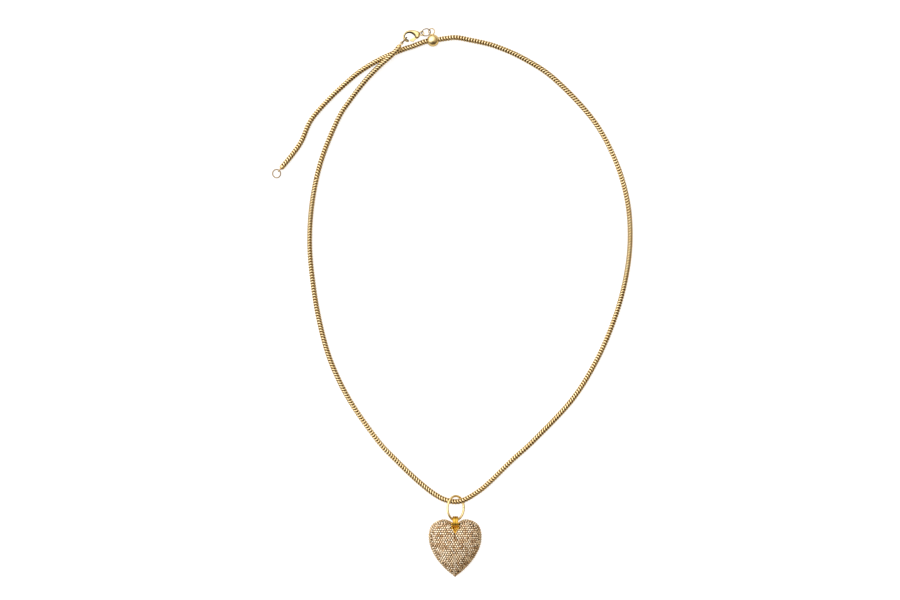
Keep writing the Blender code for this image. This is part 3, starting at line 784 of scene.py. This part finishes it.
def make_chain():
    """The chain in two runs: the strand from the clasp's end, which is left unattached to any body, and the
    rest, which stays put.
    """
    line = chain_line()
    whole = line_length(line)
    strand_length = round(STRAND_LENGTH / LINK_PITCH) * LINK_PITCH
    fine = along(line, np.linspace(0.0, whole, ROUTE_SAMPLES))
    split = int(ROUTE_SAMPLES * strand_length / whole)
    strand_line, rest_line = fine[: split + 1], fine[split:]

    strand = make_links("strand_links", strand_line, LINK_PITCH)
    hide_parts("chain_end_strand")
    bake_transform(strand)

    eye, way = clasp_end()
    make_tip("clasp_tip", "clasp_end_tip", "slider", eye, way, (0.0, 0.0, 1.0))
    tail = JOINTS["tail_ring_swing"]
    tail_tip = make_tip("tail_tip", "tail_end_tip", "root", tail["pos_m"], TAIL_DIRECTION, tail["axis"])

    rest = make_links("chain_links", rest_line, LINK_PITCH)
    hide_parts("chain")
    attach(rest, "root")


def make_tip(name, node, body, eye, way, across):
    """The crimped cup on a chain end, with the small eye that its jump ring goes through."""
    place = axes_matrix(eye, across, way)
    y_axis, z_axis = np.array(place.col[1].xyz), np.array(place.col[2].xyz)
    ring = circle_mesh(np.array(eye), y_axis, z_axis, TIP_EYE_RADIUS, TIP_EYE_WIRE, TIP_STEPS, TIP_EYE_SIDES)
    parts = join_meshes(turned_mesh(TIP_CUP, TIP_STEPS, place), ring)
    piece = outward(mesh_piece(name, *parts, TIP_GOLD, sharp=35))
    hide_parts(node)
    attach(piece, body)
    return piece


# ---- rings
def ring_shape(node):
    """Centre, long and short half-axes as vectors, and wire radius of a packed ring."""
    points = node_points(node)
    centre = (points.min(axis=0) + points.max(axis=0)) / 2
    for _ in range(CENTRE_ROUNDS):
        centre = centre + (points - centre).mean(axis=0) * 0.5
    directions = np.linalg.svd(points - centre, full_matrices=False)[2]
    reach = [np.abs((points - centre) @ d).max() for d in directions]
    wire = reach[2]
    return centre, directions[0] * (reach[0] - wire), directions[1] * (reach[1] - wire), wire


def make_ring(node, name, body, finish, cut_at, fuller=1.0):
    """A jump ring of round wire with its fine cut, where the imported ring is. fuller scales the wire."""
    centre, long_axis, short_axis, wire = ring_shape(node)
    wire *= fuller
    open_half = RING_CUT / np.linalg.norm(long_axis) / 2
    line = []
    for k in range(RING_STEPS + 1):
        angle = cut_at + open_half + (2 * math.pi - 2 * open_half) * k / RING_STEPS
        line.append(centre + long_axis * math.cos(angle) + short_axis * math.sin(angle))
    piece = outward(mesh_piece(name, *tube_mesh(line, wire, RING_SIDES, False), finish, sharp=50))
    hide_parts(node)
    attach(piece, body)


# ---- the slider bead
def make_bead():
    slide = JOINTS["bead_slide"]
    centre, ahead = Vector(slide["pos_m"]), Vector(slide["axis"]).normalized()
    low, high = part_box("slider_bead")
    radius = centre.z - low.z
    bore = radius * BEAD_BORE
    mouth = math.asin(bore / radius)
    start = mouth + LIP_ANGLE
    profile = []
    for k in range(BEAD_LEVELS + 1):
        angle = start + (math.pi - 2 * mouth - 2 * LIP_ANGLE) * k / BEAD_LEVELS
        profile.append((radius * math.sin(angle), radius * math.cos(angle)))
    end = radius * math.cos(mouth)
    inside = [
        (bore + BEAD_LIP * LIP_FLARE[0], end + BEAD_LIP * LIP_FLARE[1]), (bore, end - BEAD_LIP),
        (bore, end * CHAMBER_ENDS[0]), (radius * BEAD_CHAMBER, end * CHAMBER_ENDS[1]),
    ]
    profile += [(r, -z) for r, z in inside] + inside[::-1]
    ball = turned_mesh(profile, BEAD_STEPS, axes_matrix(centre, (0, 0, 1), ahead))

    away = Vector((-ahead.y, ahead.x, 0.0))
    loop_centre = centre + away * ((high.y - centre.y) / away.y - LOOP_RADIUS - LOOP_WIRE)
    loop_centre.z = JOINTS["clasp_swing"]["pos_m"][2]
    x_axis, y_axis = np.eye(3)[:2]
    loop = circle_mesh(np.array(loop_centre), x_axis, y_axis, LOOP_RADIUS, LOOP_WIRE, LOOP_STEPS, LOOP_SIDES)
    pieces = [
        outward(mesh_piece("bead_ball", *ball, BRIGHT_GOLD, sharp=40)),
        outward(mesh_piece("bead_loop", *loop, LOOP_GOLD)),
    ]
    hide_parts("slider_bead")
    for piece in pieces:
        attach(piece, "slider")
    set_look("slider_sleeve", SILICONE)


def set_look(node, finish):
    mesh = frame["nodes"][node].data
    mesh.materials.clear()
    mesh.materials.append(finish)
    mesh.shade_smooth()
    mesh.set_sharp_from_angle(angle=math.radians(40))


# ---- the clasp
def wall_points(node, pivot):
    """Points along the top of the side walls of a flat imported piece, away from its rivet hole."""
    mesh = frame["nodes"][node].data
    low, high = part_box(node)
    half, middle = (high.z - low.z) / 2, (high.z + low.z) / 2
    points = []
    for edge in mesh.edges:
        a, b = (mesh.vertices[k].co for k in edge.vertices)
        levels = ((a.z - middle) / half, (b.z - middle) / half)
        if min(levels) < WALL_TOP[0] or max(levels) > WALL_TOP[1]:
            continue
        steps = max(1, int((b - a).length / WALL_STEP))
        points += [a.lerp(b, k / steps) for k in range(steps + 1)]
    return [p for p in points if math.hypot(p.x - pivot.x, p.y - pivot.y) > RIVET_ROOM]


def crown(piece, node, pivot):
    """Makes a flat piece thin at its outline and full in the middle, as a cast clasp is."""
    tree = point_tree([(point.x, point.y, 0.0) for point in wall_points(node, pivot)])
    low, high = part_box(node)
    middle = (low.z + high.z) / 2
    for vertex in piece.data.vertices:
        distance = tree.find((vertex.co.x, vertex.co.y, 0.0))[2]
        share = min(1.0, distance / CLASP_FULL_AT)
        bulge = CLASP_EDGE + (CLASP_FULL - CLASP_EDGE) * share * (2 - share)
        vertex.co.z = middle + (vertex.co.z - middle) * bulge


def paint_opening_shade(piece):
    """Stores how far each point looks into the clasp's opening, where painted shade darkens the inner walls'
    colour.
    """
    eye = Vector(JOINTS["clasp_swing"]["pos_m"])
    middle = eye + Matrix.Rotation(CLASP_ANGLE, 3, "Z") @ Vector(CLASP_OPENING)
    values = []
    for vertex in piece.data.vertices:
        way = Vector((middle.x - vertex.co.x, middle.y - vertex.co.y, 0.0))
        near = max(0.0, 1 - way.length / CLASP_OPENING_REACH)
        inward = max(0.0, vertex.normal.dot(way.normalized()))
        values.append(min(1.0, OPENING_SHADE * inward * min(1.0, near * OPENING_RISE)))
    add_number(piece, "painted_recess_shade", values)


def make_clasp():
    pivot = Vector(JOINTS["clasp_lever"]["pos_m"])
    body = softened("clasp_frame", "clasp_body", CLASP_GOLD, CLASP_VOXEL)
    crown(body, "clasp_frame", pivot)
    paint_opening_shade(body)
    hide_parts("clasp_frame")
    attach(body, "clasp")

    lever = softened("clasp_lever", "clasp_thumb_lever", CLASP_GOLD, LEVER_VOXEL)
    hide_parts("clasp_lever")
    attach(lever, "lever")

    low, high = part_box("clasp_rivet")
    half = (high.z - low.z) / 2
    radius = (high.x - low.x) / 2
    head = [(AXIS_GAP, half)]
    for k in range(1, RIVET_LEVELS + 1):
        angle = math.pi / 2 * k / RIVET_LEVELS
        head.append((radius * math.sin(angle), half - RIVET_ROUNDING * (1 - math.cos(angle))))
    head.append((radius * RIVET_NECK, half - RIVET_HEAD))
    profile = [(r, -z) for r, z in head] + head[::-1]
    turned = turned_mesh(profile, RIVET_STEPS, Matrix.Translation((low + high) / 2))
    rivet = outward(mesh_piece("clasp_rivet_head", *turned, BRIGHT_GOLD, sharp=50))
    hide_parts("clasp_rivet")
    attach(rivet, "clasp")
    set_look("clasp_spring", STEEL)


# ---- the heart
def heart_frame():
    low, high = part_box("pave_row_1")
    return Vector(((low.x + high.x) / 2, low.y - HEART_TIP, 0.0))


def heart_edge():
    right = spline_line([(*p, 0.0) for p in HEART_HALF_OUTLINE], HEART_EDGE_STEPS)[:, :2]
    left = right[-2:0:-1] * np.array([-1.0, 1.0])
    return np.vstack([right, left])


EDGE = heart_edge()
EDGE_ANGLES = np.unwrap(np.arctan2(EDGE[:, 0], EDGE[:, 1]))
EDGE_REACH = np.linalg.norm(EDGE, axis=1)


def edge_reach(points):
    """How far the heart's outline is from its centre, in the direction of each point."""
    angles = np.mod(np.arctan2(points[:, 0], points[:, 1]), 2 * math.pi)
    return np.interp(angles, EDGE_ANGLES, EDGE_REACH, period=2 * math.pi)


def on_dome(points, inset=0.0):
    """Lifts flat points, measured from the heart's centre, to the dome. inset is how deep under its surface."""
    share = np.linalg.norm(points, axis=1) / edge_reach(points)
    full = 1 - inset / HEART_HALF_WIDTH
    inside = np.clip(1 - (share / full) ** (2 / DOME_FULLNESS), 0.0, 1.0)
    height = HEART_BASE + (HEART_HEIGHT - inset) * np.sqrt(inside)
    return np.column_stack([points, height])


def level_line(angle, inset=0.0):
    """The heart's outline at one level of the dome, given as the angle up from its rim."""
    share = (1 - inset / HEART_HALF_WIDTH) * math.cos(angle) ** DOME_FULLNESS
    height = HEART_BASE + (HEART_HEIGHT - inset) * math.sin(angle)
    return np.column_stack([EDGE * share, np.full(len(EDGE), height)])


def closed_positions(line, count, offset):
    ring = np.vstack([line, line[:1]])
    length = line_length(ring)
    return along(ring, np.mod((np.arange(count) + offset) / count, 1.0) * length)


def dome_normals(points):
    """Outward direction of the dome at points on it."""
    flat = points[:, :2]
    out_way = flat * (1.0 / np.linalg.norm(flat, axis=1, keepdims=True).clip(1e-5))
    side_way = np.column_stack([-out_way[:, 1], out_way[:, 0]])
    share = np.linalg.norm(flat, axis=1) / edge_reach(flat)
    angle = np.arccos(np.clip(share, 0.0, 1.0) ** (1 / DOME_FULLNESS))

    def at(way, turn):
        moved = flat + side_way * way
        reach = edge_reach(moved)
        spin = angle + turn
        level = np.cos(spin)
        new_share = np.sign(level) * np.abs(level) ** DOME_FULLNESS
        moved = moved / np.linalg.norm(moved, axis=1, keepdims=True).clip(1e-9) * (reach * new_share)[:, None]
        return np.column_stack([moved, HEART_BASE + HEART_HEIGHT * np.sin(spin)])

    sideways = at(PROBE_STEP, 0.0) - at(-PROBE_STEP, 0.0)
    upwards = at(0.0, PROBE_TURN) - at(0.0, -PROBE_TURN)
    normals = unit(np.cross(sideways, upwards))
    normals[normals[:, 2] < 0] *= -1
    return normals


def bail_room():
    """Centre of the bail and how far the stones stay from it, sideways and along the heart."""
    low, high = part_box("heart_bail")
    return (low + high) / 2, (high.x - low.x) / 2 + BAIL_ROOM[0], (high.y - low.y) / 2 + BAIL_ROOM[1]


def clear_of_bail(points):
    middle, wide, deep = bail_room()
    offset = points - np.array(middle - heart_frame())
    near = (np.abs(offset[:, 0]) < wide) & (offset[:, 1] > -deep)
    return ~near


def top_distance(reach):
    """Levels from the dome's top to the last rim row, and how far over the dome each is from the top."""
    angles = np.linspace(math.pi / 2, RIM_ROWS[-1], FIELD_LEVELS)
    out = np.cos(angles).clip(0.0) ** DOME_FULLNESS
    up = HEART_HEIGHT * np.sin(angles)
    steps = np.sqrt((np.diff(out)[None, :] * reach[:, None]) ** 2 + np.diff(up)[None, :] ** 2)
    return out, np.concatenate([np.zeros((len(reach), 1)), np.cumsum(steps, axis=1)], axis=1)


def field_places(fixed):
    """Stones over the top: a staggered lattice, evened out over the dome against the last rim row."""
    row_step = STONE_PITCH * math.sqrt(3) / 2
    lattice = np.array([
        (STONE_PITCH * (i + 0.5 * (j % 2)), row_step * j) for j in FIELD_LATTICE for i in FIELD_LATTICE
    ]) + FIELD_OFFSET
    far = np.linalg.norm(lattice, axis=1)
    out, distance = top_distance(edge_reach(lattice))
    share = np.array([np.interp(d, line, out, right=2.0) for d, line in zip(far, distance)])
    field = lattice / far[:, None] * (share * edge_reach(lattice))[:, None]
    field = field[share < FIELD_EDGE * out[-1]]

    half = HEART_HALF_WIDTH * SAMPLE_MARGIN
    grid = np.arange(-half, half, FIELD_SAMPLE)
    samples = np.array([(x, y) for y in grid for x in grid])
    samples = samples[np.linalg.norm(samples, axis=1) / edge_reach(samples) < out[-1]]
    ground = on_dome(samples)
    weight = 1.0 / dome_normals(ground)[:, 2].clip(STEEPEST)
    patch = weight.sum() * FIELD_SAMPLE ** 2
    wanted = int(patch / (row_step * STONE_PITCH) - len(fixed) * LAST_ROW_SHARE)
    chance = np.random.default_rng(FIELD_SEED)
    while len(field) > wanted:
        lifted = on_dome(field)
        tree = point_tree(lifted)
        crowding = np.array([sum(d for _, _, d in tree.find_n(place, FIELD_NEIGHBOURS)) for place in lifted])
        drop = np.argsort(crowding)[: max(1, (len(field) - wanted) // FIELD_DROP)]
        field = np.delete(field, drop, axis=0)
    field = field + chance.normal(0.0, FIELD_SHAKE, field.shape)
    for _ in range(FIELD_STEPS):
        sites = np.vstack([on_dome(field), fixed])
        tree = point_tree(sites)
        owner = np.array([tree.find(point)[1] for point in ground])
        mass = np.bincount(owner, weight, len(sites))[: len(field)].clip(1e-9)
        x = np.bincount(owner, weight * samples[:, 0], len(sites))[: len(field)] / mass
        y = np.bincount(owner, weight * samples[:, 1], len(sites))[: len(field)] / mass
        field = np.where(mass[:, None] > 1e-6, np.column_stack([x, y]), field)
    return on_dome(field)


def stone_places():
    """Where the stones sit: three rows round the rim, then a staggered field over the top."""
    rows = []
    for i, angle in enumerate(RIM_ROWS):
        line = level_line(angle)
        count = round(line_length(np.vstack([line, line[:1]])) / STONE_PITCH)
        rows.append(closed_positions(line, count, 0.5 * (i % 2)))
    rows.append(field_places(rows[-1]))
    return [row[clear_of_bail(row)] for row in rows]


def stone_shape():
    """A round brilliant: table, crown, girdle and a short cone below, for a radius of one."""
    table = round_points(8, *TABLE)
    middle = round_points(8, *CROWN, start=math.pi / 8)
    girdle = round_points(16, 1.0, GIRDLE) + round_points(16, 1.0, -GIRDLE)
    verts = np.array(table + middle + girdle + [(0.0, 0.0, -POINT_DEPTH)])
    faces = [tuple(range(8))]
    for k in range(8):
        n = (k + 1) % 8
        g = 16 + 2 * k
        next_g = 16 + (2 * k + 2) % 16
        faces.append((k, 8 + k, n))
        faces.append((k, g, 8 + k))
        faces.append((g, g + 1, 8 + k))
        faces.append((g + 1, next_g, 8 + k))
        faces.append((next_g, n, 8 + k))
    for k in range(16):
        n = (k + 1) % 16
        faces.append((16 + k, 32 + k, 32 + n, 16 + n))
        faces.append((32 + k, 48, 32 + n))
    return verts, faces


def surface_axes(normal):
    """Two directions along the surface, at right angles to its normal."""
    x = np.cross(normal, (0.3, 1.0, 0.2))
    x = x / np.linalg.norm(x)
    return x, np.cross(normal, x)


def make_stones(name, node, places, chance):
    shape, shape_faces = stone_shape()
    normals = dome_normals(places)
    verts, faces, tints = [], [], []
    centre = np.array(heart_frame())
    for place, normal in zip(places, normals):
        x, y = surface_axes(normal)
        turn = chance.random() * math.pi / 4
        tilt = chance.normal(0.0, STONE_TILT, 2)
        up = unit(normal + x * tilt[0] + y * tilt[1])
        across = unit(x * math.cos(turn) + y * math.sin(turn))
        across = unit(across - up * across.dot(up))
        other = np.cross(up, across)
        size = STONE_RADIUS * (SMALLEST_STONE + STONE_SPREAD * chance.random())
        base = place + centre - normal * STONE_SINK
        start = len(verts)
        verts.extend(base + size * (v[0] * across + v[1] * other + v[2] * up) for v in shape)
        faces.extend(tuple(i + start for i in face) for face in shape_faces)
        tints.append(chance.random() ** TINT_POWER)
    piece = mesh_piece(name, verts, faces, STONES, smooth=False)
    # Painted glints and painted dark reflections: each facet's tint is shifted at random, and some facets are
    # painted darker.
    tints_and_glints = np.repeat(tints, len(shape_faces)) + chance.normal(0.0, FACET_GLINT_SPREAD, len(faces))
    tints_and_glints += np.where(chance.random(len(faces)) < PAINTED_DARK_FACETS, PAINTED_FACET_SHADE, 0.0)
    add_number(piece, "tint_and_facet_shade", tints_and_glints.clip(0.0, 1.0), "FACE")
    outward(piece)
    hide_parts(node)
    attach(piece, "heart")


def make_grains(places):
    """The small gold beads that hold the stones, one between each two neighbours."""
    every = np.vstack(places)
    tree = point_tree(every)
    middles = []
    for i, place in enumerate(every):
        for _, k, _ in tree.find_range(place, STONE_PITCH * GRAIN_NEIGHBOUR):
            if k > i:
                middles.append((place + every[k]) / 2)
    middles = np.array(middles)
    normals = dome_normals(middles)
    count = GRAIN_SIDES
    dome = [(0.0, 0.0, 1.0)]
    for reach, height in GRAIN_PROFILE:
        dome += round_points(count, reach, height)
    dome_faces = []
    for k in range(count):
        upper, lower, foot = 1 + k, 1 + count + k, 1 + 2 * count + k
        step = (k + 1) % count - k
        dome_faces.append((0, upper, upper + step))
        dome_faces.append((upper, lower, lower + step, upper + step))
        dome_faces.append((lower, foot, foot + step, lower + step))
    dome_faces.append(tuple(range(3 * count, 2 * count, -1)))
    centre = np.array(heart_frame())
    verts, faces = [], []
    for middle, normal in zip(middles, normals):
        x, y = surface_axes(normal)
        base = middle + centre - normal * (STONE_SINK + GRAIN_RADIUS * GRAIN_SINK)
        start = len(verts)
        verts.extend(base + GRAIN_RADIUS * (v[0] * x + v[1] * y + v[2] * normal) for v in dome)
        faces.extend(tuple(i + start for i in face) for face in dome_faces)
    piece = outward(mesh_piece("setting_grains", verts, faces, GRAIN_GOLD))
    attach(piece, "heart")


def loft(name, rings, finish, sharp=40):
    """A closed piece through rings of points measured from the heart's centre."""
    count = len(rings[0])
    verts = np.vstack(rings) + np.array(heart_frame())
    faces = []
    for i in range(len(rings) - 1):
        for k in range(count):
            n = (k + 1) % count
            faces.append((i * count + k, i * count + n, (i + 1) * count + n, (i + 1) * count + k))
    faces.append(tuple(range(count - 1, -1, -1)))
    faces.append(tuple((len(rings) - 1) * count + k for k in range(count)))
    return outward(mesh_piece(name, verts, faces, finish, sharp=sharp))


def make_heart():
    places = stone_places()
    chance = np.random.default_rng(STONE_SEED)
    for i, row in enumerate(places[:-1], start=1):
        make_stones(f"stones_row_{i}", f"pave_row_{i}", row, chance)
    make_stones("stones_field", "pave_field", places[-1], chance)
    make_grains(places)

    # The seat under the stones carries the painted shade between them.
    angles = [math.radians(a) for a in np.linspace(0.0, SEAT_TOP, SEAT_LEVELS)]
    seat = loft("stone_seat", [level_line(a, SEAT_INSET) for a in angles], SEAT_PAINTED_SHADE)
    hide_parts("heart_shell")
    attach(seat, "heart")

    low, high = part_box("heart_back_plate")
    thick = high.z - low.z
    level = np.ones(len(EDGE))
    rings = [np.column_stack([EDGE * share, level * (thick * height)]) for share, height in BACK_SECTIONS]
    back = loft("heart_back", rings, BRIGHT_GOLD, sharp=60)
    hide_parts("heart_back_plate")
    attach(back, "heart")


def near_edge(t, band):
    """0 over the middle of the half width, rising to 1 over its outer band."""
    return max(0.0, abs(t) - (1 - band)) / band


def make_bail():
    low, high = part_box("heart_bail")
    centre = (low + high) / 2
    half = (high.x - low.x) / 2
    outer = (high.z - low.z) / 2
    inner = outer - BAIL_WALL
    profile = []
    for k in range(BAIL_OUTER_LEVELS + 1):
        t = -1 + 2 * k / BAIL_OUTER_LEVELS
        ridge = BAIL_RIDGE * math.cos(t * math.pi * BAIL_RIDGES)
        edge = BAIL_EDGE * near_edge(t, BAIL_EDGE_BAND)
        profile.append((outer - BAIL_INSET + ridge - edge, half * t))
    for k in range(BAIL_INNER_LEVELS + 1):
        t = 1 - 2 * k / BAIL_INNER_LEVELS
        flare = BAIL_FLARE * near_edge(t, BAIL_FLARE_BAND)
        profile.append((inner + flare, half * t * BAIL_INNER_WIDTH))
    place = axes_matrix(centre, (0, 1, 0), (1, 0, 0))
    piece = outward(mesh_piece("bail_band", *turned_mesh(profile, BAIL_STEPS, place), CAST_GOLD, sharp=50))
    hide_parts("heart_bail")
    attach(piece, "heart")
    make_collar(centre, half, outer)


def make_collar(centre, half, outer):
    """The gold grains soldered round the foot of the bail, which run down into the heart's cleft."""
    grain = COLLAR_GRAIN
    spots = []
    for side in (-1, 1):
        for k in range(COLLAR_SIDE_GRAINS):
            out = half + grain * (COLLAR_SIDE_OUT - COLLAR_SIDE_NARROWING * k)
            spots.append((side * out, outer * COLLAR_SIDE_START - k * grain * COLLAR_SPACING))
    for row in range(COLLAR_ROWS):
        last = COLLAR_ROWS - 1 - row
        for k in range(last + 1):
            down = grain * (COLLAR_ROW_START + COLLAR_ROW_STEP * row)
            spots.append(((k - last / 2) * grain * COLLAR_SPACING, -outer - down))
    balls = []
    origin = heart_frame()
    for i, (x, y) in enumerate(spots):
        flat = np.array([[centre.x + x - origin.x, centre.y + y - origin.y]])
        if np.linalg.norm(flat) < edge_reach(flat)[0]:
            z = on_dome(flat)[0][2] - grain * COLLAR_SINK
            size = grain * (1.0 - COLLAR_SHRINK * (i % 3))
            balls.append(ball_mesh(Vector((centre.x + x, centre.y + y, z)), size))
    piece = outward(mesh_piece("bail_collar", *join_meshes(*balls), CAST_GOLD))
    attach(piece, "heart")


# ---- the whole scene
bpy.context.scene.view_settings.view_transform = "Standard"
make_camera()
make_chain()
make_world()
make_floor()
make_ring("tail_ring", "tail_jump_ring", "tail_ring", RING_GOLD, cut_at=0.6, fuller=1.12)
make_ring("chain_end_ring", "chain_end_jump_ring", "end_ring", RING_GOLD, cut_at=1.7)
make_ring("clasp_jump_ring", "clasp_link_ring", "clasp_ring", RING_GOLD, cut_at=1.9)
make_ring("pendant_ring", "pendant_oval_ring", "pendant_ring", PENDANT_GOLD, cut_at=1.75, fuller=1.12)
make_bead()
make_clasp()
make_bail()
make_heart()
